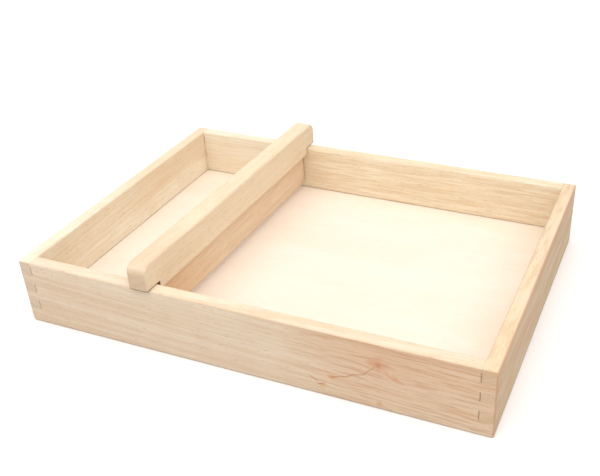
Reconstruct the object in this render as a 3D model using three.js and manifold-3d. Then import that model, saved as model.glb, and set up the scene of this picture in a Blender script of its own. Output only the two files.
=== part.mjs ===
/**
 * A shallow wooden tray and the levelling bar that rests across it.
 *
 * Four boards are joined by fingers at the corners, and a thin plywood floor sits in a groove that
 * runs round their inner faces. The bar is a rail with a thinner blade glued into a groove in its
 * underside. The rail's ends are notched over the two long walls, so the bar slides along the rims
 * and lifts off, and the blade reaches down to just above the floor.
 *
 * Millimetres, +Z up. The origin is at the middle of the tray's underside. +X runs along the long
 * front wall from left to right, and +Y points from the front wall to the rear one.
 */
import * as THREE from 'three';
import { mergeVertices } from 'three/addons/utils/BufferGeometryUtils.js';
import Module from 'manifold-3d';

// The tray
const LENGTH = 430; // along X, over the side walls
const WIDTH = 305; // along Y, over the long walls
const HEIGHT = 64;
const WALL = 12; // board thickness
const EASE = 1.5; // radius on the boards' long edges and on the tray's upright corners

// The finger joints, from the underside up
const FOOT_FINGER = 15; // the lowest finger, on the long walls
const FINGER = 9; // every finger above it, except the top one, which takes what is left
const JOINT_GAP = 0.1; // glue line on each side of a joint

// The plywood floor
const PANEL = 4; // thickness
const PANEL_TOP = 16.8; // height of its upper face
const GROOVE = 5; // depth of the groove in the walls
const PANEL_GAP = 0.2; // play between the panel and its groove

// The levelling bar
const BAR_X = -84; // where it rests, measured at its middle
const BAR_Y = 1.3; // pushed towards the rear wall, within its play
const BAR_SKEW = -1.12; // degrees about Z: a loose bar lies a little out of square
const RAIL_WIDTH = 18;
const RAIL_LENGTH = 314.4; // over its ends, which stand proud of the long walls
const RAIL_TOP = 87.5;
const RAIL_CORNER = 9; // radius of the two upper corners, seen from the side
const RAIL_EASE = 2.2; // radius on the rail's edges
const NOTCH = 7.2; // how far the rail reaches below its notches
const RIM_GAP = 0.2; // running gap between a notch and the rim under it
const SHOULDER_GAP = 1.7; // play between a notch's shoulder and the wall's inner face
const BLADE = 8; // thickness
const BLADE_BOTTOM = 23;
const BLADE_CORNER = 9; // radius of the two lower corners, seen from the side
const BLADE_EASE = 1.2;
const BLADE_GROOVE = 6; // depth of the groove in the rail's underside
const GLUE_GAP = 0.3; // around the blade in that groove

const ROUND_STEPS = 6; // steps in a quarter circle
const CUT_CLEAR = 2; // how far a cutting block runs past the faces that it cuts

const INNER_WIDTH = WIDTH - 2 * WALL;
const NOTCH_ROOF = HEIGHT + RIM_GAP;
const RAIL_BOTTOM = NOTCH_ROOF - NOTCH;
const BODY_LENGTH = INNER_WIDTH - 2 * SHOULDER_GAP; // of the rail's lower part, and of the blade

const wasm = await Module();
wasm.setup();

/** Turns a closed geometry into a solid that can be cut. */
function toSolid(geometry) {
  const bare = geometry.clone();
  bare.deleteAttribute('normal');
  bare.deleteAttribute('uv');
  const merged = mergeVertices(bare);
  return new wasm.Manifold(new wasm.Mesh({
    numProp: 3,
    vertProperties: new Float32Array(merged.attributes.position.array),
    triVerts: new Uint32Array(merged.index.array),
  }));
}

/** Turns a solid back into a geometry. */
function toGeometry(solid) {
  const { vertProperties, triVerts } = solid.getMesh();
  const geometry = new THREE.BufferGeometry();
  geometry.setAttribute('position', new THREE.BufferAttribute(vertProperties, 3));
  geometry.setIndex(new THREE.BufferAttribute(triVerts, 1));
  geometry.computeVertexNormals();
  return geometry;
}

/** A solid block between two opposite corners. */
function block(low, high) {
  const size = high.map((value, axis) => value - low[axis]);
  const middle = high.map((value, axis) => (value + low[axis]) / 2);
  return toSolid(new THREE.BoxGeometry(...size).translate(...middle));
}

/** A rectangle with a radius at each corner: lower left, lower right, upper right, upper left. */
function roundedRectangle(left, bottom, right, top, radii) {
  const [lowLeft, lowRight, highRight, highLeft] = radii;
  const quarter = Math.PI / 2;
  const shape = new THREE.Shape();
  shape.moveTo(left + lowLeft, bottom);
  shape.lineTo(right - lowRight, bottom);
  if (lowRight) shape.absarc(right - lowRight, bottom + lowRight, lowRight, -quarter, 0);
  shape.lineTo(right, top - highRight);
  if (highRight) shape.absarc(right - highRight, top - highRight, highRight, 0, quarter);
  shape.lineTo(left + highLeft, top);
  if (highLeft) shape.absarc(left + highLeft, top - highLeft, highLeft, quarter, 2 * quarter);
  shape.lineTo(left, bottom + lowLeft);
  if (lowLeft) shape.absarc(left + lowLeft, bottom + lowLeft, lowLeft, 2 * quarter, 3 * quarter);
  return shape;
}

/** A shape drawn across X and up Z, given a thickness along Y about the middle. */
function thicken(shape, thickness, ease = 0) {
  const geometry = new THREE.ExtrudeGeometry(shape, {
    depth: thickness - 2 * ease,
    curveSegments: ROUND_STEPS,
    bevelEnabled: ease > 0,
    bevelThickness: ease,
    bevelSize: ease,
    bevelOffset: -ease,
    bevelSegments: 3,
  });
  geometry.translate(0, 0, ease - thickness / 2);
  return geometry.rotateX(Math.PI / 2);
}

/** The heights between which a side wall's finger passes through the corner. */
function sideFingers() {
  const bands = [];
  for (let low = FOOT_FINGER; low < HEIGHT; low += 2 * FINGER) {
    const isTop = low + 2 * FINGER > HEIGHT;
    bands.push([low, isTop ? HEIGHT + CUT_CLEAR : low + FINGER]);
  }
  return bands;
}

/** The heights between which a long wall's finger passes through: what the side fingers leave. */
function longFingers() {
  const bands = sideFingers();
  return bands.map(([low], index) => [index ? bands[index - 1][1] : -CUT_CLEAR, low]);
}

/** A board with long edges eased, along X with its inner face towards +Y, standing on z = 0. */
function board(length) {
  const section = roundedRectangle(-WALL / 2, 0, WALL / 2, HEIGHT, [EASE, EASE, EASE, EASE]);
  return toSolid(thicken(section, length).rotateZ(Math.PI / 2));
}

/** Cuts the other wall's fingers out of both ends of a board. */
function cutFingers(solid, length, bands) {
  let cut = solid;
  for (const [low, high] of bands) {
    const [bottom, top] = [low - JOINT_GAP, high + JOINT_GAP];
    for (const side of [-1, 1]) {
      const ends = [side * (length / 2 - WALL - JOINT_GAP), side * (length / 2 + CUT_CLEAR)];
      ends.sort((a, b) => a - b);
      cut = cut.subtract(block([ends[0], -WALL, bottom], [ends[1], WALL, top]));
    }
  }
  return cut;
}

/** Cuts the floor's groove in a board's inner face. It stops inside the corner joints. */
function cutGroove(solid, length) {
  const reach = length / 2 - WALL + GROOVE;
  const low = PANEL_TOP - PANEL - PANEL_GAP;
  return solid.subtract(block(
    [-reach, WALL / 2 - GROOVE, low],
    [reach, WALL / 2 + CUT_CLEAR, PANEL_TOP + PANEL_GAP],
  ));
}

/** Rounds the upright outer edges at both ends of a board. */
function easeEnds(solid, length) {
  const radii = [EASE, EASE, 0, 0];
  const plan = roundedRectangle(-length / 2, -WALL / 2, length / 2, WALL / 2, radii);
  const tall = new THREE.ExtrudeGeometry(plan, {
    depth: HEIGHT + 2 * CUT_CLEAR,
    curveSegments: ROUND_STEPS,
    bevelEnabled: false,
  });
  return solid.intersect(toSolid(tall.translate(0, 0, -CUT_CLEAR)));
}

/** A wall in its own place: along X, with its inner face towards +Y. */
function wallGeometry(length, otherFingers) {
  let solid = cutFingers(board(length), length, otherFingers);
  solid = cutGroove(solid, length);
  return toGeometry(easeEnds(solid, length));
}

/** The plywood floor, which reaches into the groove on every side. */
function panelGeometry() {
  const reach = 2 * (GROOVE - PANEL_GAP - WALL);
  const geometry = new THREE.BoxGeometry(LENGTH + reach, WIDTH + reach, PANEL);
  return geometry.translate(0, 0, PANEL_TOP - PANEL / 2);
}

/** The rail, along X: a bar with a notch under each end and a groove along its underside. */
function railGeometry() {
  const end = RAIL_LENGTH / 2;
  const shoulder = BODY_LENGTH / 2;
  const quarter = Math.PI / 2;
  const side = new THREE.Shape();
  side.moveTo(-shoulder, RAIL_BOTTOM);
  side.lineTo(shoulder, RAIL_BOTTOM);
  side.lineTo(shoulder, NOTCH_ROOF);
  side.lineTo(end, NOTCH_ROOF);
  side.lineTo(end, RAIL_TOP - RAIL_CORNER);
  side.absarc(end - RAIL_CORNER, RAIL_TOP - RAIL_CORNER, RAIL_CORNER, 0, quarter);
  side.lineTo(RAIL_CORNER - end, RAIL_TOP);
  side.absarc(RAIL_CORNER - end, RAIL_TOP - RAIL_CORNER, RAIL_CORNER, quarter, 2 * quarter);
  side.lineTo(-end, NOTCH_ROOF);
  side.lineTo(-shoulder, NOTCH_ROOF);
  const half = BLADE / 2 + GLUE_GAP;
  const groove = block(
    [-shoulder - CUT_CLEAR, -half, RAIL_BOTTOM - CUT_CLEAR],
    [shoulder + CUT_CLEAR, half, RAIL_BOTTOM + BLADE_GROOVE],
  );
  return toGeometry(toSolid(thicken(side, RAIL_WIDTH, RAIL_EASE)).subtract(groove));
}

/** The blade, along X: a thin board with rounded lower corners, standing in the rail's groove. */
function bladeGeometry() {
  const half = BODY_LENGTH / 2;
  const top = RAIL_BOTTOM + BLADE_GROOVE - GLUE_GAP;
  const radii = [BLADE_CORNER, BLADE_CORNER, 0, 0];
  const side = roundedRectangle(-half, BLADE_BOTTOM, half, top, radii);
  return thicken(side, BLADE, BLADE_EASE);
}

/** Bare, sanded hardwood in one tone. */
function wood(color) {
  return new THREE.MeshStandardMaterial({ color, roughness: 0.62, metalness: 0 });
}

/** Names a mesh and puts it in its group. */
function place(group, name, geometry, material) {
  const mesh = new THREE.Mesh(geometry, material);
  mesh.name = name;
  group.add(mesh);
  return mesh;
}

/** Four walls and the floor. */
function makeTray() {
  const tray = new THREE.Group();
  const longWall = wallGeometry(LENGTH, sideFingers());
  const sideWall = wallGeometry(WIDTH, longFingers());
  const across = (WIDTH - WALL) / 2;
  const along = (LENGTH - WALL) / 2;

  const front = place(tray, 'front_wall', longWall, wood(0xe1c3a5));
  front.position.y = -across;

  const rear = place(tray, 'rear_wall', longWall, wood(0xf0d6af));
  rear.position.y = across;
  rear.rotation.z = Math.PI;

  const left = place(tray, 'left_wall', sideWall, wood(0xe6c8a5));
  left.position.x = -along;
  left.rotation.z = -Math.PI / 2;

  const right = place(tray, 'right_wall', sideWall, wood(0xd2b498));
  right.position.x = along;
  right.rotation.z = Math.PI / 2;

  place(tray, 'floor_panel', panelGeometry(), wood(0xfff8e4));
  return tray;
}

/** The rail and its blade, drawn along X and turned to lie across the tray. */
function makeLeveller() {
  const leveller = new THREE.Group();
  place(leveller, 'leveller_rail', railGeometry(), wood(0xe4cbaf));
  place(leveller, 'leveller_blade', bladeGeometry(), wood(0xdeb28a));
  leveller.position.set(BAR_X, BAR_Y, 0);
  leveller.rotation.z = Math.PI / 2 + THREE.MathUtils.degToRad(BAR_SKEW);
  return leveller;
}

const object = new THREE.Group();
object.add(makeTray(), makeLeveller());

export default object;
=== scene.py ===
# %% [markdown]
# A finger-jointed wooden tray with a levelling bar.
#
# The real object is seven pieces of wood: four walls joined by glued fingers, a thin plywood floor
# held in a groove, and a loose bar made of a rail with a blade glued under it. The CAD model says
# where everything is and how the bar slides. Here each piece is made again as a joiner would make
# it, so that its edges are eased, its joints show and its grain runs the right way.

# %% The frame
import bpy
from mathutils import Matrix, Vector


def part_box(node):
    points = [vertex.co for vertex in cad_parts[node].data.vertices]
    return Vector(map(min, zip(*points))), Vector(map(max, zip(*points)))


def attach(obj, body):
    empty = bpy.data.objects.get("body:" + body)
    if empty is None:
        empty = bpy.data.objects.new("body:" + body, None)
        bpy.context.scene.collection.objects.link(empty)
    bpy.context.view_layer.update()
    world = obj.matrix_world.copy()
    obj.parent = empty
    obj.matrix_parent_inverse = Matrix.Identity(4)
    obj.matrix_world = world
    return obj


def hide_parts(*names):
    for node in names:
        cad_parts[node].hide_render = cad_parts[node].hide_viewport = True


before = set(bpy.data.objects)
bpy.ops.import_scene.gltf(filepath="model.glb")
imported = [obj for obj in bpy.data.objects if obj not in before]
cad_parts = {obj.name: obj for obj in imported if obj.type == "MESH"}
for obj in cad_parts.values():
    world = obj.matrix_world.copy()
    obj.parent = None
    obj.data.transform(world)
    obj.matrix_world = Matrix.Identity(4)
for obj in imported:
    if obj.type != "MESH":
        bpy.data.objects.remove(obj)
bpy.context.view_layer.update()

import math

import bmesh
import bpy
from mathutils import Matrix, Vector

MM = 0.001
scene = bpy.context.scene

# %% [markdown]
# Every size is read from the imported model's boxes, so the pieces fit the frame exactly. What a box
# can't tell, such as the pitch of the fingers, is the joiner's own choice of cutter, and is stated.

# %% Sizes
front_low, front_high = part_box("front_wall")
left_low, left_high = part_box("left_wall")
panel_low, panel_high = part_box("floor_panel")
rail_low, rail_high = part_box("leveller_rail")
blade_low, blade_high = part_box("leveller_blade")

LENGTH = front_high.x - front_low.x
WIDTH = left_high.y - left_low.y
HEIGHT = front_high.z - front_low.z
WALL = front_high.y - front_low.y

# The box joint: its lowest finger, the others, and the play above and below each.
FOOT_FINGER = 15 * MM
FINGER = 9 * MM
FINGER_PLAY = 0.04 * MM
# The thin gap at a finger's shoulder, which is pressed nearly shut close to the rim.
SHOULDER_GAP = 0.22 * MM
RIM_SHOULDER_GAP = 0.08 * MM
RIM_CLOSED = 4 * MM
# Roundings: edges that a hand meets, shoulders, and all the rest.
EASE = 1.5 * MM
SHOULDER_ARRIS = 0.3 * MM
ARRIS = 0.15 * MM
# The groove that holds the floor, how far short of a corner it stops, and its play above and
# below the panel.
GROOVE = 5 * MM
GROOVE_STOP = 1 * MM
GROOVE_LIP = 0.8 * MM
GROOVE_SEAT = 0.2 * MM

# The bar's rail. It hooks over the rims with a little play beyond the walls' inner faces.
BAR_SKEW = math.radians(-1.12)
RAIL_WIDTH = 18 * MM
RAIL_LENGTH = 314.4 * MM
RAIL_CORNER = 9 * MM
RAIL_EASE = 2.2 * MM
RAIL_FOOT_EASE = 0.8 * MM
RIM_GAP = 0.2 * MM
SHOULDER_PLAY = 1.7 * MM
# The blade, whose tongue is glued into a groove and stops short of the rail's shoulders.
BLADE = 8 * MM
BLADE_CORNER = 9 * MM
BLADE_EASE = 1.2 * MM
BLADE_GROOVE = 6 * MM
BLADE_PLAY = 0.1 * MM
TONGUE_STOP = 3.2 * MM

# Places closer together than this are the same place.
TOUCH = 0.02 * MM

BODY_LENGTH = WIDTH - 2 * WALL - 2 * SHOULDER_PLAY
BAR_X = (rail_low.x + rail_high.x) / 2
BAR_Y = (rail_low.y + rail_high.y) / 2
print(f"tray {LENGTH:.3f} x {WIDTH:.3f} x {HEIGHT:.3f} m, walls {WALL:.4f} m, bar at {BAR_X:.4f} m")

# %% [markdown]
# Camera, light and floor come first, so that every piece can be looked at as soon as it is made.
# A longish lens about 0.85 m away looks down on the tray from its right front corner. The lens is
# shifted sideways a little, which moves the tray in the frame without changing its perspective.

# %% Camera
AZIMUTH = math.radians(23.39)
ELEVATION = math.radians(32.59)
ROLL = math.radians(-1.79)
DISTANCE = 0.847
AIM = Vector((0.0237, 0.0394, 0.0))
FOCAL_LENGTH, SENSOR = 50.95, 36
SHIFT_X, SHIFT_Y = -0.0914, 0.0392
VIEW_END = 30


def add_camera():
    data = bpy.data.cameras.new("camera")
    data.lens = FOCAL_LENGTH
    data.sensor_width = SENSOR
    data.shift_x = SHIFT_X
    data.shift_y = SHIFT_Y
    data.clip_end = VIEW_END
    camera = bpy.data.objects.new("camera", data)
    scene.collection.objects.link(camera)
    towards = Vector((
        math.sin(AZIMUTH) * math.cos(ELEVATION),
        -math.cos(AZIMUTH) * math.cos(ELEVATION),
        math.sin(ELEVATION),
    ))
    turn = (-towards).to_track_quat("-Z", "Y").to_matrix() @ Matrix.Rotation(ROLL, 3, "Z")
    camera.matrix_world = Matrix.Translation(AIM + towards * DISTANCE) @ turn.to_4x4()
    scene.camera = camera
    print("camera at", [round(value, 4) for value in camera.matrix_world.translation])


add_camera()

# %% [markdown]
# The light is that of a bright product shot: a nearly white sky all round, a large soft box high in
# front and a little to the left, one overhead, and a wide one high at the right. Large lights give
# soft shadows. The display transform is Standard, so that a white floor stays white.
# The floor looks white but throws back only a part of the light, as a sheet of paper on a dark
# table would, so the outer walls stay a little darker than the inner ones. The Light Path node
# tells the two apart: a ray from the camera sees one colour and a ray from the wood another.

# %% Light and floor
SKY_COLOUR = (1.0, 0.99, 0.975, 1.0)
SKY_STRENGTH = 0.80
FLOOR_WHITE = 0.92
FLOOR_BOUNCE = 0.55
FLOOR_REACH = 6.0


def add_softbox(name, azimuth, elevation, distance, size, power):
    """A square light aimed at the middle of the tray, from so many degrees round and up."""
    data = bpy.data.lights.new(name, "AREA")
    data.size = size
    data.energy = power
    light = bpy.data.objects.new(name, data)
    turn, rise = math.radians(azimuth), math.radians(elevation)
    towards = Vector((math.sin(turn) * math.cos(rise), -math.cos(turn) * math.cos(rise),
                      math.sin(rise)))
    light.location = towards * distance
    light.rotation_euler = (-towards).to_track_quat("-Z", "Y").to_euler()
    scene.collection.objects.link(light)


def add_sky():
    world = bpy.data.worlds.new("studio")
    world.use_nodes = True
    background = world.node_tree.nodes["Background"]
    background.inputs["Color"].default_value = SKY_COLOUR
    background.inputs["Strength"].default_value = SKY_STRENGTH
    scene.world = world


def paper_material():
    material = bpy.data.materials.new("white paper")
    material.use_nodes = True
    tree = material.node_tree
    shader = tree.nodes["Principled BSDF"]
    shader.inputs["Roughness"].default_value = 1.0
    shader.inputs["Specular IOR Level"].default_value = 0.0
    path = tree.nodes.new("ShaderNodeLightPath")
    shade = tree.nodes.new("ShaderNodeMapRange")
    shade.inputs["To Min"].default_value = FLOOR_BOUNCE
    shade.inputs["To Max"].default_value = FLOOR_WHITE
    tree.links.new(path.outputs["Is Camera Ray"], shade.inputs["Value"])
    tree.links.new(shade.outputs["Result"], shader.inputs["Base Color"])
    return material


def add_floor():
    bm = bmesh.new()
    bmesh.ops.create_grid(bm, x_segments=8, y_segments=8, size=FLOOR_REACH)
    mesh = bpy.data.meshes.new("studio_floor")
    bm.to_mesh(mesh)
    bm.free()
    mesh.materials.append(paper_material())
    floor = bpy.data.objects.new("studio_floor", mesh)
    scene.collection.objects.link(floor)


scene.view_settings.view_transform = "Standard"
add_sky()
add_floor()
add_softbox("key", azimuth=-18, elevation=54, distance=2.0, size=1.6, power=13.5)
add_softbox("overhead", azimuth=0, elevation=88, distance=1.9, size=1.6, power=5)
add_softbox("fill", azimuth=78, elevation=60, distance=2.2, size=2.0, power=17)

# %% [markdown]
# A board is a block with lines scored across it, and everything else follows from the lines. These
# helpers score a plane across all of a shape or across chosen faces, push faces in or out, and
# round edges. Boolean cuts could do the same, but scored faces stay clean and easy to bevel.

# %% Joiner's helpers
# An edge is sharp if it turns by more than this, and a face points along an axis if that part of
# its normal is above this.
SHARP = math.radians(30)
FACING = 0.9


def score(bm, point, normal, faces=None):
    """Cuts a line where a plane crosses the shape, or only where it crosses some faces."""
    parts = set()
    for face in list(faces or bm.faces):
        parts.update([face, *face.edges, *face.verts])
    bmesh.ops.bisect_plane(bm, geom=list(parts), dist=1e-7, plane_co=point, plane_no=normal)
    bm.normal_update()


def push(bm, faces, move):
    """Pushes a patch of faces out of the shape or into it, with new sides."""
    edges = {edge for face in faces for edge in face.edges}
    made = bmesh.ops.extrude_face_region(bm, geom=[*faces, *edges])["geom"]
    moved = [part for part in made if isinstance(part, bmesh.types.BMVert)]
    bmesh.ops.translate(bm, vec=move, verts=moved)
    bm.normal_update()


def sharp_edges(bm, keep):
    """The edges that turn sharply and for which keep(edge) is true."""
    return [
        edge for edge in bm.edges
        if len(edge.link_faces) == 2
        and edge.calc_face_angle() > SHARP
        and keep(edge)
    ]


def round_edges(bm, edges, radius, segments):
    bmesh.ops.bevel(
        bm, geom=edges, offset=radius, offset_type="OFFSET", affect="EDGES",
        segments=segments, profile=0.5, material=-1, clamp_overlap=True,
    )
    bm.normal_update()


# %% [markdown]
# A finished piece has its eased edges marked, so that its material can colour them partly as years
# of handling do and partly as painted shade. The mark is 1 in a vertex attribute called arris. A
# bevel splits old vertices and would lose marks made before it, so they are made last, by looking
# for narrow, slanted faces.
# Then the piece gets its place in its mesh, its body and even shading.

# %% Finishing a piece
SQUARE_ON = 0.995
EASED_WIDTH = 1 * MM


def mark_arrises(bm):
    """Gives 1 to the vertices that lie only between the narrow, slanted faces of an eased edge."""
    def is_eased(face):
        is_slanted = max(abs(value) for value in face.normal) < SQUARE_ON
        return is_slanted and min(edge.calc_length() for edge in face.edges) < EASED_WIDTH

    arris = bm.verts.layers.float.new("arris")
    for vert in bm.verts:
        vert[arris] = float(all(is_eased(face) for face in vert.link_faces))


def finish_piece(bm, name, body, node, place=Matrix.Identity(4)):
    """Puts a finished shape in its place as an object that rides on a body."""
    bmesh.ops.dissolve_degenerate(bm, dist=1e-6, edges=bm.edges)
    mark_arrises(bm)
    bm.transform(place)
    bm.normal_update()
    for edge in sharp_edges(bm, lambda edge: True):
        edge.smooth = False
    mesh = bpy.data.meshes.new(name)
    bm.to_mesh(mesh)
    bm.free()
    mesh.shade_smooth()
    piece = bpy.data.objects.new(name, mesh)
    scene.collection.objects.link(piece)
    weighted = piece.modifiers.new("even shading", "WEIGHTED_NORMAL")
    weighted.keep_sharp = True
    weighted.weight = 100
    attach(piece, body)
    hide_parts(node)
    print(f"{name}: {len(mesh.polygons)} faces")
    return piece


# %% [markdown]
# The walls. On the real tray each corner is a box joint: square fingers cut with one wide cutter,
# so the joint is as strong as the boards. Both boards of a corner share the same heights, so the
# heights are worked out once. The side walls' fingers come first, and the long walls' fill what
# they leave. Each finger is a hair thinner than its slot, or the real joint would never go in.

# %% Finger heights


def side_fingers():
    """The heights of the side walls' fingers, from the lowest up."""
    bands = []
    low = FOOT_FINGER
    while low < HEIGHT - MM:
        is_top = low + 2 * FINGER > HEIGHT
        bands.append((low, HEIGHT if is_top else low + FINGER))
        low += 2 * FINGER
    return bands


def long_fingers():
    """The long walls' fingers fill what the side walls' leave."""
    tops = [0.0] + [high for low, high in side_fingers()]
    return [(tops[index], low) for index, (low, high) in enumerate(side_fingers())]


def with_play(bands):
    """The same bands, made a little thinner so that the fingers slide together."""
    return [
        (low + FINGER_PLAY if low > 0 else low, high - FINGER_PLAY if high < HEIGHT else high)
        for low, high in bands
    ]


print("side fingers:", [[round(value / MM, 2) for value in band] for band in side_fingers()])
print("long fingers:", [[round(value / MM, 2) for value in band] for band in long_fingers()])

# %% [markdown]
# Each board starts as its middle part, between the corners. Lines scored at the finger heights
# divide its ends, and every second field is pushed out as a finger. The middle part is a little
# short, which leaves the dark line that a real joint shows at its shoulders, and close to the rim
# the line is nearly shut. The groove for the floor is a strip of the inner face pushed in. It stops
# short of the corners, so it can't be seen from outside.

# %% Fingers and groove


def score_finger_heights(bm, bands):
    for height in sorted({height for band in bands for height in band}):
        if 0 < height < HEIGHT:
            score(bm, (0, 0, height), (0, 0, 1))


def push_out_ends(bm, bands, reach):
    """Pushes the ends of the chosen bands further out."""
    for side in (-1, 1):
        for low, high in bands:
            ends = [
                face for face in bm.faces
                if face.normal.x * side > FACING and low < face.calc_center_median().z < high
            ]
            push(bm, ends, (side * reach, 0, 0))


def close_rim_shoulder(bm):
    """Closes the shoulder's gap near the rim, where the joiner pressed it tight."""
    score(bm, (0, 0, HEIGHT - RIM_CLOSED), (0, 0, 1))
    push_out_ends(bm, [(HEIGHT - RIM_CLOSED, HEIGHT)], SHOULDER_GAP - RIM_SHOULDER_GAP)


def push_in_groove(bm, reach):
    """Sinks the floor's groove into the inner face, between plus and minus reach."""
    low, high = panel_low.z - GROOVE_SEAT, panel_high.z + GROOVE_LIP

    def inner_faces(is_between):
        return [f for f in bm.faces if f.normal.y > FACING and is_between(f.calc_center_median())]

    for height in (low, high):
        score(bm, (0, 0, height), (0, 0, 1), inner_faces(lambda c: abs(c.x) < reach + WALL))
    for side in (-1, 1):
        strip = inner_faces(lambda c: low < c.z < high and abs(c.x) < reach + WALL)
        score(bm, (side * reach, 0, 0), (1, 0, 0), strip)
    push(bm, inner_faces(lambda c: low < c.z < high and abs(c.x) < reach), (0, -GROOVE, 0))


# %% [markdown]
# A joiner sands the tray after it is glued. Rims, feet and corners, where a hand meets them, get a
# soft rounding. The shoulders and fingers only lose their sharpness. Three bevels do this, from the
# largest to the smallest, and each picks its edges by where they lie on the board.

# %% Easing the edges


def ease_board(bm, length, inner_half, half):
    """Rounds the edges that a hand meets, and takes the sharpness off all the others."""
    def both(edge, is_there):
        return all(is_there(vert.co) for vert in edge.verts)

    def near(value, target):
        return abs(value - target) < TOUCH

    def is_met(edge):
        level = both(edge, lambda co: near(co.z, 0)) or both(edge, lambda co: near(co.z, HEIGHT))
        outer = both(edge, lambda co: near(co.y, -WALL / 2))
        end = both(edge, lambda co: near(abs(co.x), length / 2))
        inner = both(edge, lambda co: near(co.y, WALL / 2) and abs(co.x) < inner_half)
        return (level and (outer or end or inner)) or (outer and end)

    def is_shoulder(edge):
        return both(edge, lambda co: near(co.y, -WALL / 2) and near(abs(co.x), half))

    def is_outside(edge):
        return not any(near(vert.co.y, WALL / 2 - GROOVE) for vert in edge.verts)

    round_edges(bm, sharp_edges(bm, is_met), EASE, segments=4)
    round_edges(bm, sharp_edges(bm, is_shoulder), SHOULDER_ARRIS, segments=2)
    round_edges(bm, sharp_edges(bm, is_outside), ARRIS, segments=2)
    for vert in bm.verts:
        vert.co.y = max(vert.co.y, -WALL / 2)


# %% The four walls


def fingered_board(length, bands):
    """A board along X with its inner face towards +Y, standing on z = 0."""
    inner_half = length / 2 - WALL
    half = inner_half - SHOULDER_GAP
    bm = bmesh.new()
    bmesh.ops.create_cube(bm, size=1.0)
    bmesh.ops.scale(bm, vec=(2 * half, WALL, HEIGHT), verts=bm.verts)
    bmesh.ops.translate(bm, vec=(0, 0, HEIGHT / 2), verts=bm.verts)
    bm.normal_update()
    score_finger_heights(bm, with_play(bands))
    push_out_ends(bm, with_play(bands), length / 2 - half)
    if bands[-1][1] < HEIGHT:
        close_rim_shoulder(bm)
    push_in_groove(bm, inner_half - GROOVE_STOP)
    ease_board(bm, length, inner_half, half)
    return bm


def turned_place(turn, shift):
    """A turn about Z and then a move, from where a piece is drawn to where it belongs."""
    return Matrix.Translation(shift) @ Matrix.Rotation(turn, 4, "Z")


WALL_PLACES = {
    "front_wall": turned_place(0, (0, -(WIDTH - WALL) / 2, 0)),
    "rear_wall": turned_place(math.pi, (0, (WIDTH - WALL) / 2, 0)),
    "left_wall": turned_place(-math.pi / 2, (-(LENGTH - WALL) / 2, 0, 0)),
    "right_wall": turned_place(math.pi / 2, ((LENGTH - WALL) / 2, 0, 0)),
}


def make_wall(node):
    is_long = node in ("front_wall", "rear_wall")
    if is_long:
        bm = fingered_board(LENGTH, long_fingers())
    else:
        bm = fingered_board(WIDTH, side_fingers())
    return finish_piece(bm, node + "_board", "tray", node, WALL_PLACES[node])


walls = {node: make_wall(node) for node in WALL_PLACES}

# %% [markdown]
# The floor. A plywood panel slides into the grooves before the last corner is closed. The grooves
# stop short of the corners, so the joiner nips the panel's corners off. It starts as a flat
# rectangle, gets its thickness by an extrusion, and its four upright edges become the nips.

# %% Plywood floor


def make_floor():
    bm = bmesh.new()
    bmesh.ops.create_grid(bm, x_segments=1, y_segments=1, size=0.5)
    size = panel_high - panel_low
    bmesh.ops.scale(bm, vec=(size.x, size.y, 1), verts=bm.verts)
    bmesh.ops.translate(bm, vec=(0, 0, panel_high.z), verts=bm.verts)
    made = bmesh.ops.extrude_face_region(bm, geom=list(bm.faces), use_keep_orig=True)["geom"]
    lower = [part for part in made if isinstance(part, bmesh.types.BMVert)]
    bmesh.ops.translate(bm, vec=(0, 0, -size.z), verts=lower)
    bmesh.ops.recalc_face_normals(bm, faces=bm.faces)
    upright = [edge for edge in bm.edges if abs(edge.verts[0].co.z - edge.verts[1].co.z) > MM]
    bmesh.ops.bevel(
        bm, geom=upright, offset=GROOVE + GROOVE_STOP, affect="EDGES", segments=1, profile=0.5,
        material=-1,
    )
    bm.normal_update()
    round_edges(bm, sharp_edges(bm, lambda edge: True), ARRIS, segments=2)
    return finish_piece(bm, "plywood_floor", "tray", "floor_panel")


plywood = make_floor()

# %% [markdown]
# The levelling bar. The rail is drawn as its side outline, with a notch under each end that drops
# over the wall, and given its width by an extrusion. Its two upper corners get a large radius and
# then every edge is eased, so it is pleasant to hold. The blade is made the same way. Both are
# drawn along X and turned to lie across the tray, a little out of square as a loose bar does.

# %% Sawing out the bar
BAR_PLACE = turned_place(math.pi / 2 + BAR_SKEW, (BAR_X, BAR_Y, 0))


def plank_from_outline(outline, thickness):
    """A plank from its side outline in X and Z, with its thickness along Y about the middle."""
    bm = bmesh.new()
    corners = [bm.verts.new((x, -thickness / 2, z)) for x, z in outline]
    made = bmesh.ops.extrude_face_region(bm, geom=[bm.faces.new(corners)], use_keep_orig=True)
    moved = [part for part in made["geom"] if isinstance(part, bmesh.types.BMVert)]
    bmesh.ops.translate(bm, vec=(0, thickness, 0), verts=moved)
    bmesh.ops.recalc_face_normals(bm, faces=bm.faces)
    bm.normal_update()
    return bm


def edges_across(bm, x, z):
    """The two edges that run through the plank's thickness, at plus and minus x and height z."""
    def is_there(co, side):
        return abs(co.x - side * x) < TOUCH and abs(co.z - z) < TOUCH

    return [
        edge for edge in bm.edges
        if any(all(is_there(vert.co, side) for vert in edge.verts) for side in (-1, 1))
    ]


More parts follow.
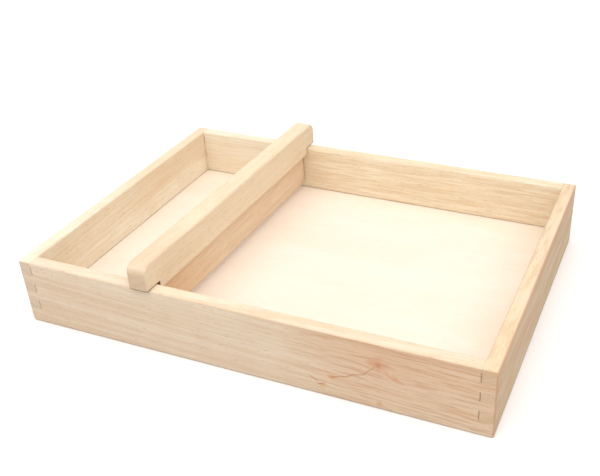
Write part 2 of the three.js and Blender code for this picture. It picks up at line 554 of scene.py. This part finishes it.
def sink_blade_groove(bm, bottom, reach):
    """Sinks the blade's groove into the rail's underside, between plus and minus reach."""
    half_groove = BLADE / 2 + BLADE_PLAY

    def underside(is_inside):
        return [f for f in bm.faces if f.normal.z < -FACING and is_inside(f.calc_center_median())]

    for side in (-1, 1):
        score(bm, (0, side * half_groove, 0), (0, 1, 0), underside(lambda c: c.z < bottom + MM))
    for side in (-1, 1):
        strip = underside(lambda c: c.z < bottom + MM and abs(c.y) < half_groove)
        score(bm, (side * reach, 0, 0), (1, 0, 0), strip)
    groove = underside(lambda c: c.z < bottom + MM and abs(c.y) < half_groove and abs(c.x) < reach)
    push(bm, groove, (0, 0, BLADE_GROOVE))


# %% Rail and blade


def make_rail():
    top, bottom, roof = rail_high.z, rail_low.z, HEIGHT + RIM_GAP
    end, shoulder = RAIL_LENGTH / 2, BODY_LENGTH / 2
    half_outline = [(shoulder, bottom), (shoulder, roof), (end, roof), (end, top)]
    outline = half_outline + [(-x, z) for x, z in reversed(half_outline)]
    bm = plank_from_outline(outline, RAIL_WIDTH)
    round_edges(bm, edges_across(bm, end, top), RAIL_CORNER, segments=8)
    sink_blade_groove(bm, bottom, shoulder - TONGUE_STOP + 2 * BLADE_PLAY)

    def is_foot(edge):
        margin = 0.1 * MM
        return all(abs(vert.co.x) > shoulder - margin and vert.co.z < roof + margin
                   for vert in edge.verts)

    def is_groove(edge):
        return all(abs(vert.co.y) < BLADE / 2 + 2 * BLADE_PLAY and abs(vert.co.x) < shoulder - MM
                   for vert in edge.verts)

    held = sharp_edges(bm, lambda edge: not is_foot(edge) and not is_groove(edge))
    round_edges(bm, held, RAIL_EASE, segments=5)
    foot = sharp_edges(bm, lambda edge: not is_groove(edge))
    round_edges(bm, foot, RAIL_FOOT_EASE, segments=3)
    return finish_piece(bm, "leveller_rail_bar", "leveller", "leveller_rail",
                        BAR_PLACE)


def make_blade():
    top, bottom, half = blade_high.z, blade_low.z, BODY_LENGTH / 2
    half_outline = [(half, bottom), (half, rail_low.z), (half - TONGUE_STOP, rail_low.z),
                    (half - TONGUE_STOP, top)]
    outline = half_outline + [(-x, z) for x, z in reversed(half_outline)]
    bm = plank_from_outline(outline, BLADE)
    round_edges(bm, edges_across(bm, half, bottom), BLADE_CORNER, segments=8)

    def is_below_rail(edge):
        return all(vert.co.z < rail_low.z - MM for vert in edge.verts)

    round_edges(bm, sharp_edges(bm, is_below_rail), BLADE_EASE, segments=4)
    return finish_piece(bm, "leveller_blade_board", "leveller", "leveller_blade",
                        BAR_PLACE)


rail = make_rail()
blade = make_blade()

# %% [markdown]
# The wood. A tree grows in rings, and a board is a slice through them. A flat picture of grain
# would stop at every edge, so each board is placed in its own log instead: rings are distances from
# the log's middle, and every face, end grain included, then shows the cut that it should. A few
# helpers make the nodes, so that each later line says one thing about the wood.

# %% Node helpers


def display_colour(red, green, blue):
    """A colour given as it looks on a screen, from 0 to 255, in linear light."""
    def linear(value):
        value /= 255
        return value / 12.92 if value <= 0.04045 else ((value + 0.055) / 1.055) ** 2.4

    return (linear(red), linear(green), linear(blue), 1.0)


def add_node(tree, kind, inputs=None, **settings):
    """Adds a shader node, sets it up, and sets or links its inputs."""
    made = tree.nodes.new("ShaderNode" + kind)
    for name, value in settings.items():
        setattr(made, name, value)
    for name, value in (inputs or {}).items():
        if isinstance(value, bpy.types.NodeSocket):
            tree.links.new(value, made.inputs[name])
        else:
            made.inputs[name].default_value = value
    return made


def calc(tree, operation, *values):
    """One Math node, whose output it gives."""
    return add_node(tree, "Math", dict(enumerate(values)), operation=operation).outputs[0]


def chain(tree, operation, *values):
    """Several values taken through one kind of Math node, two at a time."""
    result, *others = values
    for value in others:
        result = calc(tree, operation, result, value)
    return result


def squared_length(tree, first, second):
    """The square of the long side of a right triangle."""
    return calc(tree, "ADD", calc(tree, "POWER", first, 2.0), calc(tree, "POWER", second, 2.0))


def remap(tree, value, low, high, to_low=0.0, to_high=1.0, smooth=True):
    """Maps a value from low..high to another range, clamped at both ends."""
    made = add_node(tree, "MapRange", {
        "Value": value, "From Min": low, "From Max": high, "To Min": to_low, "To Max": to_high,
    }, interpolation_type="SMOOTHSTEP" if smooth else "LINEAR")
    return made.outputs["Result"]


def lay_colour(tree, under, over, mask, strength):
    """Lays one colour over another where a mask is 1, at part of its strength."""
    amount = calc(tree, "MULTIPLY", mask, strength)
    return add_node(tree, "Mix", {0: amount, 6: under, 7: over}, data_type="RGBA").outputs[2]


def stretched(tree, position, scale):
    """Scales a position by a vector, so that a pattern is drawn out along the grain."""
    made = add_node(tree, "VectorMath", {0: position, 1: scale}, operation="MULTIPLY")
    return made.outputs[0]


def noise(tree, position, detail=2.0, roughness=0.5, output="Fac"):
    made = add_node(tree, "TexNoise", {
        "Vector": position, "Scale": 1.0, "Detail": detail, "Roughness": roughness,
    })
    return made.outputs[output]


def split(tree, position):
    """A position and its three parts, by name."""
    parts = add_node(tree, "SeparateXYZ", {0: position}).outputs
    return {"X": parts[0], "Y": parts[1], "Z": parts[2], "whole": position}


# %% [markdown]
# What all the boards share is one node group: broad rings, thin streaks inside them, fine fibre,
# the short dark pores of a hardwood, a slow blush of colour, a faint curl across the grain, and the
# speckle of end grain. It puts out masks only. Each board gives it a position in its log and lays
# its own colours by the masks. The log's middle runs along X.

# %% The timber group
# How many times a pattern repeats in a metre, along the grain and across it.
BEND_SCALE = (3.5, 14, 14)
FIBRE_SCALE = (28, 1100, 1100)
PORE_SCALE = (95, 620, 620)
BLUSH_SCALE = (9, 30, 30)
CURL_SCALE = (42, 20, 20)
SPECKLE_SCALE = (900, 900, 900)
RING_DRIFT = 2.5
STREAK_DRIFT = 24.0
STREAKS_PER_RING = 2.8


def bent_position(tree, given, place):
    """The position pushed about by a slow noise, as a tree's rings are by its growth."""
    slow = noise(tree, stretched(tree, place, BEND_SCALE), 2.0, 0.5, "Color")
    centred = add_node(tree, "VectorMath", {0: slow, 1: (0.5, 0.5, 0.5)}, operation="SUBTRACT")
    shift = add_node(tree, "VectorMath", {0: centred.outputs[0], "Scale": given["Wander"]},
                     operation="SCALE")
    bent = add_node(tree, "VectorMath", {0: given["Position"], 1: shift.outputs[0]},
                    operation="ADD")
    return split(tree, bent.outputs[0])


def make_timber_group():
    tree = bpy.data.node_groups.new("timber", "ShaderNodeTree")
    tree.interface.new_socket("Position", in_out="INPUT", socket_type="NodeSocketVector")
    for name in ("Ring Spacing", "Wander", "Seed"):
        tree.interface.new_socket(name, in_out="INPUT", socket_type="NodeSocketFloat")
    for name in ("Rings", "Streaks", "Fibre", "Pores", "Blush", "Curl", "Speckle"):
        tree.interface.new_socket(name, in_out="OUTPUT", socket_type="NodeSocketFloat")
    given = tree.nodes.new("NodeGroupInput").outputs
    result = tree.nodes.new("NodeGroupOutput").inputs

    seed = add_node(tree, "CombineXYZ", {"X": given["Seed"], "Y": given["Seed"]}).outputs[0]
    place = add_node(tree, "VectorMath", {0: given["Position"], 1: seed}, operation="ADD").outputs[0]
    bent = bent_position(tree, given, place)
    from_middle = calc(tree, "SQRT", squared_length(tree, bent["Y"], bent["Z"]))
    ring_number = calc(tree, "DIVIDE", from_middle, given["Ring Spacing"])

    def along_rings(repeats, drift):
        return add_node(tree, "CombineXYZ", {
            "X": calc(tree, "MULTIPLY", ring_number, repeats),
            "Y": calc(tree, "MULTIPLY", bent["X"], drift),
            "Z": given["Seed"],
        }).outputs[0]

    rings = noise(tree, along_rings(1.0, RING_DRIFT), 2.0, 0.55)
    streaks = noise(tree, along_rings(STREAKS_PER_RING, STREAK_DRIFT), 3.0, 0.7)
    fibre = noise(tree, stretched(tree, place, FIBRE_SCALE), 2.0, 0.6)
    pores = add_node(tree, "TexVoronoi", {"Vector": stretched(tree, place, PORE_SCALE),
                                          "Scale": 1.0}, feature="F1").outputs["Distance"]
    blush = noise(tree, stretched(tree, place, BLUSH_SCALE))
    curl = noise(tree, stretched(tree, place, CURL_SCALE))
    speckle = noise(tree, stretched(tree, place, SPECKLE_SCALE), 2.0, 0.6)

    for name, mask in {
        "Rings": remap(tree, rings, 0.36, 0.66),
        "Streaks": remap(tree, streaks, 0.47, 0.60),
        "Fibre": remap(tree, fibre, 0.3, 0.7),
        "Pores": remap(tree, pores, 0.08, 0.24, 1.0, 0.0),
        "Blush": remap(tree, blush, 0.35, 0.68),
        "Curl": remap(tree, curl, 0.38, 0.66),
        "Speckle": remap(tree, speckle, 0.48, 0.62),
    }.items():
        tree.links.new(mask, result[name])
    return tree


timber_group = make_timber_group()
print("timber group:", [socket.name for socket in timber_group.interface.items_tree])

# %% [markdown]
# The colours. Pale, creamy tones are the clean wood, and each board tints them with rings, streaks
# and a blush that are rosy or golden. The darker tones are stains: heartwood, tan and olive bands,
# the knot and glue. The darkest brown also paints shade where the bar sits on the walls, and the warm
# edge tone is partly wear and partly painted shade on the eased edges. Colours are given as they look
# on a screen.

# %% Wood colours
PALE = display_colour(234, 217, 193)
CREAM = display_colour(238, 228, 207)
CREAMIEST = display_colour(243, 236, 219)
SANDY = display_colour(222, 204, 181)
BUFF = display_colour(229, 207, 178)
PORE = display_colour(166, 128, 98)
HEART = display_colour(222, 180, 144)
HONEY = display_colour(222, 184, 142)
TAN = display_colour(204, 164, 132)
OLIVE = display_colour(196, 172, 126)
ROSE = display_colour(212, 156, 124)
AMBER = display_colour(214, 158, 106)
KNOT = display_colour(186, 128, 84)
# Glue beside the joints, and painted shade where the bar sits on the walls.
GLUE_DARK_AND_SHADE = display_colour(128, 82, 50)
# Eased edges: partly wear and partly painted shade, strongest below the rim.
WORN_AND_SHADED_EDGE = display_colour(192, 150, 110)
ROSY = {
    "rings": display_colour(218, 188, 154),
    "streaks": display_colour(184, 132, 96),
    "blush": display_colour(226, 198, 176),
}
GOLDEN = {
    "rings": display_colour(222, 196, 156),
    "streaks": display_colour(192, 148, 102),
    "blush": display_colour(232, 212, 180),
}
END_GRAIN = {
    "front": display_colour(204, 168, 134),
    "right": display_colour(218, 186, 154),
    "rail": display_colour(216, 190, 162),
    "others": display_colour(214, 188, 164),
}

# %% [markdown]
# A board's material lays those colours in the order in which a real board gets them: what grew in
# the tree, then the sawn ends, then the board's own stains, with painted shade on the bar, and last
# the eased edges, darkened partly as hands rub them and partly as painted shade. The fibre also
# roughens the surface a little and the pores sink into it as bump.

# %% A board's material
RING_SPACING = 4 * MM
RING_WANDER = 5 * MM
# How strongly each mask lays its colour.
BLUSH, CURL, FIBRE, PORES = 0.35, 0.14, 0.26, 0.4
SAWN, SAWN_RINGS, SAWN_SPECKLE = 0.7, 0.3, 0.3
EDGE_BELOW_RIM, EDGE_AT_RIM = 0.6, 0.1
ROUGHNESS, FIBRE_ROUGHNESS, EDGE_POLISH = 0.54, 0.12, -0.12


def start_material(name):
    material = bpy.data.materials.new(name)
    material.use_nodes = True
    tree = material.node_tree
    shader = tree.nodes["Principled BSDF"]
    shader.inputs["IOR"].default_value = 1.45
    shader.inputs["Specular IOR Level"].default_value = 0.25
    return material, tree, shader


def end_grain(tree, axis):
    """1 where a face is cut across the grain, 0 along it."""
    normal = add_node(tree, "TexCoord").outputs["Normal"]
    along = add_node(tree, "VectorMath", {0: normal, 1: axis}, operation="DOT_PRODUCT")
    return remap(tree, calc(tree, "ABSOLUTE", along.outputs["Value"]), 0.55, 0.95)


def timber_material(name, pith, turn, axis, seed, marks, pale=PALE, tones=ROSY, end="others",
                    rings=0.5, streaks=0.3):
    """The wood of one board. pith is a point on its log's middle line, turn the line's direction,
    axis the way of its grain, and marks a function that adds the board's own marks."""
    material, tree, shader = start_material(name)
    position = add_node(tree, "TexCoord").outputs["Object"]
    own = marks(tree, position)
    in_log = add_node(tree, "Mapping", {
        "Vector": own.get("position", position), "Location": pith, "Rotation": turn,
    }, vector_type="TEXTURE").outputs[0]
    figure = add_node(tree, "Group", {
        "Position": in_log, "Ring Spacing": RING_SPACING, "Wander": RING_WANDER, "Seed": seed,
    }, node_tree=timber_group).outputs

    streaks = own.get("streaks", streaks)
    colour = lay_colour(tree, pale, tones["blush"], figure["Blush"], BLUSH)
    colour = lay_colour(tree, colour, tones["rings"], figure["Rings"], rings)
    colour = lay_colour(tree, colour, tones["streaks"], figure["Streaks"], streaks)
    colour = lay_colour(tree, colour, tones["rings"], figure["Curl"], CURL)
    colour = lay_colour(tree, colour, tones["rings"], figure["Fibre"], FIBRE)
    colour = lay_colour(tree, colour, PORE, figure["Pores"], PORES)
    sawn = lay_colour(tree, END_GRAIN[end], tones["streaks"], figure["Rings"], SAWN_RINGS)
    sawn = lay_colour(tree, sawn, PORE, figure["Speckle"], SAWN_SPECKLE)
    colour = lay_colour(tree, colour, sawn, end_grain(tree, axis), SAWN)
    # Each board's stains, and on the bar painted shade where it meets the walls and near the floor.
    for overlay_colour, mask, strength in own["stains_and_shade"]:
        colour = lay_colour(tree, colour, overlay_colour, mask, strength)
    # The eased edges darken, more below the rim than at it: partly wear, partly painted shade.
    edge = add_node(tree, "Attribute", attribute_name="arris").outputs["Fac"]
    tint = remap(tree, split(tree, position)["Z"], HEIGHT - 6 * MM, HEIGHT - 3 * MM,
                 EDGE_BELOW_RIM, EDGE_AT_RIM)
    colour = lay_colour(tree, colour, WORN_AND_SHADED_EDGE, edge, tint)
    tree.links.new(colour, shader.inputs["Base Color"])

    rough = calc(tree, "MULTIPLY_ADD", figure["Fibre"], FIBRE_ROUGHNESS, ROUGHNESS)
    rough = calc(tree, "MULTIPLY_ADD", edge, EDGE_POLISH, rough)
    tree.links.new(rough, shader.inputs["Roughness"])
    relief = calc(tree, "SUBTRACT", calc(tree, "MULTIPLY", figure["Fibre"], 0.35), figure["Pores"])
    bump = add_node(tree, "Bump", {"Height": relief, "Strength": 0.35, "Distance": 0.08 * MM})
    tree.links.new(bump.outputs[0], shader.inputs["Normal"])
    return material


def dress(piece, material):
    piece.data.materials.clear()
    piece.data.materials.append(material)
    print(piece.name, "is", material.name)


# %% [markdown]
# Boards have marks of their own: lines, spots, and glue that has soaked in beside a joint. Each is
# a mask worked out from the position, and may be listed with a colour and a strength. Noise makes
# its edge uneven, for nothing in wood is drawn with a compass. Most marks belong to the outer face
# only, so they are multiplied by a mask that fades out a little way below that face.

# %% Lines, spots and glue
LINE_WIDTH = 1.1 * MM
LINE_WOBBLE = 5 * MM
LINE_FADE = 1.5 * MM
LINE_SCALE = (110, 0, 0)
SPOT_SCALE = (180, 180, 260)
GLUE_FROM, GLUE_TO = 1.6 * MM, 0.5 * MM
FACE_DEPTH, EDGE_DEPTH = 0.3 * MM, 1.6 * MM


def near_face(tree, depth):
    """1 on a board's face and 0 deeper than its rounded edge."""
    return remap(tree, depth, FACE_DEPTH, EDGE_DEPTH, 1.0, 0.0)


def dark_line(tree, apart, start, end, width=LINE_WIDTH):
    """A thin, wavering line from start to end on a board's face, each given by x and z."""
    slope = (end[1] - start[1]) / (end[0] - start[0])
    waver = noise(tree, stretched(tree, apart["whole"], LINE_SCALE))
    waver = calc(tree, "MULTIPLY", calc(tree, "SUBTRACT", waver, 0.5), LINE_WOBBLE)
    height = calc(tree, "MULTIPLY_ADD", apart["X"], slope, start[1] - slope * start[0])
    off = calc(tree, "SUBTRACT", apart["Z"], calc(tree, "ADD", height, waver))
    near = remap(tree, calc(tree, "ABSOLUTE", off), 0.25 * width, width, 1.0, 0.0)
    begins = remap(tree, apart["X"], start[0] - LINE_FADE, start[0] + LINE_FADE)
    stops = remap(tree, apart["X"], end[0] - LINE_FADE, end[0] + LINE_FADE, 1.0, 0.0)
    return chain(tree, "MULTIPLY", near, begins, stops)


def spot(tree, apart, x, z, size, stretch=1.5):
    """A soft spot with an uneven edge, drawn out along the grain."""
    along = calc(tree, "DIVIDE", calc(tree, "SUBTRACT", apart["X"], x), stretch)
    above = calc(tree, "SUBTRACT", apart["Z"], z)
    uneven = noise(tree, stretched(tree, apart["whole"], SPOT_SCALE), 2.0, 0.6)
    distance = calc(tree, "MULTIPLY", calc(tree, "SQRT", squared_length(tree, along, above)),
                    calc(tree, "MULTIPLY_ADD", uneven, 1.6, 0.2))
    return remap(tree, distance, 0.0, size, 1.0, 0.0)


def glue_lines(tree, apart):
    """1 beside the shoulders of a long board's joints, where glue has darkened the wood."""
    beyond = calc(tree, "SUBTRACT", calc(tree, "ABSOLUTE", apart["X"]), LENGTH / 2 - WALL)
    near = remap(tree, beyond, -GLUE_FROM, -GLUE_TO)
    above_foot = calc(tree, "SUBTRACT", apart["Z"], FOOT_FINGER)
    is_above = calc(tree, "GREATER_THAN", above_foot, 0.0)
    is_slot = calc(tree, "LESS_THAN", calc(tree, "MODULO", above_foot, 2 * FINGER), FINGER)
    return chain(tree, "MULTIPLY", near, is_above, is_slot)


# %% [markdown]
# The front board is the one with character. Its right part comes from nearer the heart of the tree
# and is darker and full of fine red-brown streaks. A small knot sits in it, and the grain flows
# round the knot as water flows round a stone. That is done by moving the pattern's position towards
# the knot's own height, the more the nearer it is. A broken dark line runs down from the knot to
# the left, with amber spots on it, and a short branch mark leaves it to the right.

# %% The front board's marks
KNOT_X, KNOT_Z = 123 * MM, 44 * MM
KNOT_REACH = 4.84 * MM
KNOT_STRETCH = 0.45
HEART_FROM, HEART_TO = 20 * MM, 120 * MM
# In millimetres along and up the board: each line's start and end, and a width; each spot's middle,
# size and stretch.
CRACK_PARTS = (((82, 20), (112, 32)), ((110, 31), (120, 41)), ((64, 17), (72, 13.5)),
               ((71, 10.5), (77, 11.5)))
BRANCH_PARTS = (((127, 42), (132, 36), 1.8), ((130, 36), (143, 32), 2.2))
AMBER_SPOTS = ((84, 21, 4, 1.5), (76, 11, 4, 1.5), (124, 6, 4, 1.0), (137, 34, 3, 1.5))


def in_mm(values):
    return tuple(value * MM for value in values)


def flow_round_knot(tree, apart):
    """The position with its height drawn towards the knot's, the more the nearer it is."""
    along = calc(tree, "MULTIPLY", calc(tree, "SUBTRACT", apart["X"], KNOT_X), KNOT_STRETCH)
    above = calc(tree, "SUBTRACT", apart["Z"], KNOT_Z)
    squared = squared_length(tree, along, above)
    share = calc(tree, "DIVIDE", squared, calc(tree, "ADD", squared, KNOT_REACH ** 2))
    height = calc(tree, "MULTIPLY_ADD", above, share, KNOT_Z)
    return add_node(tree, "CombineXYZ", {"X": apart["X"], "Y": apart["Y"], "Z": height}).outputs[0]


def front_board_marks(tree, position):
    apart = split(tree, position)
    depth = calc(tree, "SUBTRACT", apart["Y"], front_low.y)
    below_rim = remap(tree, apart["Z"], HEIGHT - 2 * MM, HEIGHT - 0.6 * MM, 1.0, 0.0)
    outer = calc(tree, "MULTIPLY", near_face(tree, depth), below_rim)
    heart = calc(tree, "MULTIPLY", remap(tree, apart["X"], HEART_FROM, HEART_TO), outer)
    upper = remap(tree, apart["Z"], 0.0, HEIGHT, 0.55, 1.0, smooth=False)
    upper_heart = calc(tree, "MULTIPLY", heart, upper)
    under_rim = calc(tree, "MULTIPLY", heart, remap(tree, apart["Z"], 54 * MM, 61 * MM))
    halo = spot(tree, apart, KNOT_X - MM, KNOT_Z + MM, 10 * MM, 1.2)
    eye = spot(tree, apart, KNOT_X, KNOT_Z, 3.4 * MM, 1.2)
    crack = chain(tree, "MAXIMUM", *(
        dark_line(tree, apart, in_mm(start), in_mm(end)) for start, end in CRACK_PARTS))
    branch = chain(tree, "MAXIMUM", *(
        dark_line(tree, apart, in_mm(start), in_mm(end), width * MM)
        for start, end, width in BRANCH_PARTS))
    amber = chain(tree, "MAXIMUM", *(
        spot(tree, apart, x * MM, z * MM, size * MM, stretch)
        for x, z, size, stretch in AMBER_SPOTS))
    return {
        "position": flow_round_knot(tree, apart),
        "streaks": calc(tree, "MULTIPLY_ADD", upper_heart, 0.68, 0.12),
        "stains_and_shade": [
            (HEART, upper_heart, 0.55),
            (ROSY["streaks"], under_rim, 0.22),
            (ROSE, halo, 0.8),
            (AMBER, calc(tree, "MULTIPLY", amber, outer), 0.6),
            (ROSE, calc(tree, "MULTIPLY", branch, outer), 0.5),
            (KNOT, eye, 0.5),
            (KNOT, calc(tree, "MULTIPLY", crack, outer), 0.55),
            (GLUE_DARK_AND_SHADE, glue_lines(tree, apart), 0.35),
        ],
    }


# %% [markdown]
# The other walls. The left board is more golden in its upper half, above a wavy limit. The rear
# board is paler towards the tray's left. The right board's outer face has tan and olive bands along the
# grain, and a redder one under the rim. Noise drawn out along the board makes the bands.

# %% The other walls' marks
BAND_SCALE = (0, 8, 150)
OLIVE_SCALE = (0, 11, -90)
LIMIT_SCALE = (0, 16, 0)


def left_board_marks(tree, position):
    apart = split(tree, position)
    wave = noise(tree, stretched(tree, position, LIMIT_SCALE))
    limit = calc(tree, "MULTIPLY_ADD", wave, 20 * MM, 26 * MM)
    upper = remap(tree, calc(tree, "SUBTRACT", apart["Z"], limit), -3 * MM, 5 * MM)
    return {"stains_and_shade": [(HONEY, upper, remap(tree, apart["Y"], -WIDTH / 2, WIDTH / 2, 0.04, 0.35))]}


def rear_board_marks(tree, position):
    apart = split(tree, position)
    lighter = remap(tree, apart["X"], -0.3 * LENGTH, -0.1 * LENGTH, 1.0, 0.0)
    return {"stains_and_shade": [(CREAMIEST, lighter, 0.35), (GLUE_DARK_AND_SHADE, glue_lines(tree, apart), 0.35)]}


def right_board_marks(tree, position):
    apart = split(tree, position)
    outer = near_face(tree, calc(tree, "SUBTRACT", LENGTH / 2, apart["X"]))
    brown = noise(tree, stretched(tree, position, BAND_SCALE), 3.0, 0.6)
    olive = noise(tree, stretched(tree, position, OLIVE_SCALE), 2.0, 0.6)
    under_rim = remap(tree, apart["Z"], HEIGHT - 12 * MM, HEIGHT - 4 * MM)
    return {"stains_and_shade": [
        (TAN, outer, remap(tree, brown, 0.38, 0.62, 0.1, 0.7)),
        (OLIVE, outer, remap(tree, olive, 0.5, 0.66, 0.0, 0.4)),
        (ROSE, calc(tree, "MULTIPLY", outer, under_rim), 0.35),
    ]}


# %% [markdown]
# The bar. The rail's notches and shoulders and the blade's ends get painted shade, where they sit close
# to the walls. The rail's top is tanned at the end where a hand takes it, and the blade's lower edge
# gets a little painted shade close above the floor. All of these are measured along the bar from its
# middle.

# %% The bar's marks


def along_bar(tree, position):
    """How far a point is along the bar from its middle."""
    from_middle = add_node(tree, "VectorMath", {0: position, 1: (BAR_X, BAR_Y, 0)},
                           operation="SUBTRACT").outputs[0]
    direction = (-math.sin(BAR_SKEW), math.cos(BAR_SKEW), 0)
    return add_node(tree, "VectorMath", {0: from_middle, 1: direction},
                    operation="DOT_PRODUCT").outputs["Value"]


def rail_marks(tree, position):
    height = split(tree, position)["Z"]
    along = along_bar(tree, position)
    beyond = calc(tree, "SUBTRACT", calc(tree, "ABSOLUTE", along), BODY_LENGTH / 2)
    above_rim = calc(tree, "SUBTRACT", height, HEIGHT + RIM_GAP)
    # Painted shade: the rail's shoulders and notches are darkened up to about a millimetre above the
    # rim, where it sits on the walls.
    rim_contact_shade = calc(tree, "MULTIPLY", remap(tree, beyond, -1.2 * MM, 0.0),
                  remap(tree, above_rim, 0.7 * MM, 1.6 * MM, 1.0, 0.0))
    handled = calc(tree, "MULTIPLY",
                   remap(tree, along, -RAIL_LENGTH / 2, -0.2 * RAIL_LENGTH, 1.0, 0.0),
                   remap(tree, height, rail_high.z - 3 * MM, rail_high.z - MM, 0.2, 1.0))
    return {"stains_and_shade": [(TAN, handled, 0.34), (GLUE_DARK_AND_SHADE, rim_contact_shade, 0.85)]}


def blade_marks(tree, position):
    height = split(tree, position)["Z"]
    along = along_bar(tree, position)
    to_end = calc(tree, "SUBTRACT", BODY_LENGTH / 2, calc(tree, "ABSOLUTE", along))
    return {"stains_and_shade": [
        (AMBER, remap(tree, along, -BODY_LENGTH / 2, -0.1 * BODY_LENGTH, 1.0, 0.0), 0.35),
        # Painted shade along the blade's lower edge, close above the floor.
        (ROSY["streaks"], remap(tree, height, blade_low.z, blade_low.z + 3 * MM, 1.0, 0.0), 0.4),
        # Painted shade at the blade's ends, in the narrow gap to the walls.
        (GLUE_DARK_AND_SHADE, remap(tree, to_end, 0.4 * MM, 1.4 * MM, 1.0, 0.0), 0.7),
    ]}


# %% [markdown]
# Now each board is put in its log. A log's middle far from the board gives straight, quiet grain,
# and a near one gives arches. A turn of about a degree lets the rings run out of the face, which
# draws the long tongues that real boards have.

# %% The six woods
ALONG_X, ALONG_Y = (1, 0, 0), (0, 1, 0)
QUARTER = math.pi / 2

dress(walls["front_wall"], timber_material(
    "front board", (0, -0.10, -0.055), (0, math.radians(1.2), math.radians(1.0)), ALONG_X, 3.1,
    front_board_marks, end="front"))
dress(walls["rear_wall"], timber_material(
    "rear board", (0, 0.20, 0.12), (0, math.radians(-0.8), 0), ALONG_X, 7.7,
    rear_board_marks, pale=CREAM, tones=GOLDEN, rings=0.4))
dress(walls["left_wall"], timber_material(
    "left board", (-0.24, 0, -0.04), (0, math.radians(-0.9), QUARTER), ALONG_Y, 11.3,
    left_board_marks, pale=CREAMIEST, tones=GOLDEN, rings=0.25, streaks=0.15))
dress(walls["right_wall"], timber_material(
    "right board", (0.25, 0, -0.05), (0, math.radians(0.8), QUARTER), ALONG_Y, 17.9,
    right_board_marks, pale=SANDY, tones=GOLDEN, end="right"))
dress(rail, timber_material(
    "rail bar", (BAR_X + 0.05, 0, -0.03), (0, math.radians(0.5), QUARTER + BAR_SKEW), ALONG_Y, 23.4,
    rail_marks, tones=GOLDEN, end="rail", rings=0.25, streaks=0.15))
dress(blade, timber_material(
    "blade board", (BAR_X + 0.09, 0, 0.10), (0, 0, QUARTER + BAR_SKEW), ALONG_Y, 29.8,
    blade_marks, pale=BUFF, rings=0.45, streaks=0.18))

# %% [markdown]
# The plywood's outer veneer is peeled from a turning log, so it cuts the rings at a grazing angle.
# What shows is very pale, broad and wavy, with short fine flecks. Two noises are enough for that,
# and it needs no log of its own.

# %% Plywood
VENEER = display_colour(240, 227, 212)
VENEER_WAVE = display_colour(236, 218, 198)
VENEER_FLECK = display_colour(222, 198, 168)
WAVE_SCALE = (7, 26, 26)
FLECK_SCALE = (70, 900, 900)


def plywood_material():
    material, tree, shader = start_material("plywood veneer")
    shader.inputs["Roughness"].default_value = 0.6
    position = add_node(tree, "TexCoord").outputs["Object"]
    wave = noise(tree, stretched(tree, position, WAVE_SCALE), 3.0, 0.55)
    fleck = noise(tree, stretched(tree, position, FLECK_SCALE), 2.0, 0.6)
    colour = lay_colour(tree, VENEER, VENEER_WAVE, remap(tree, wave, 0.4, 0.7), 0.5)
    colour = lay_colour(tree, colour, VENEER_FLECK, remap(tree, fleck, 0.5, 0.75), 0.3)
    tree.links.new(colour, shader.inputs["Base Color"])
    bump = add_node(tree, "Bump", {"Height": fleck, "Strength": 0.25, "Distance": 0.05 * MM})
    tree.links.new(bump.outputs[0], shader.inputs["Normal"])
    return material


dress(plywood, plywood_material())
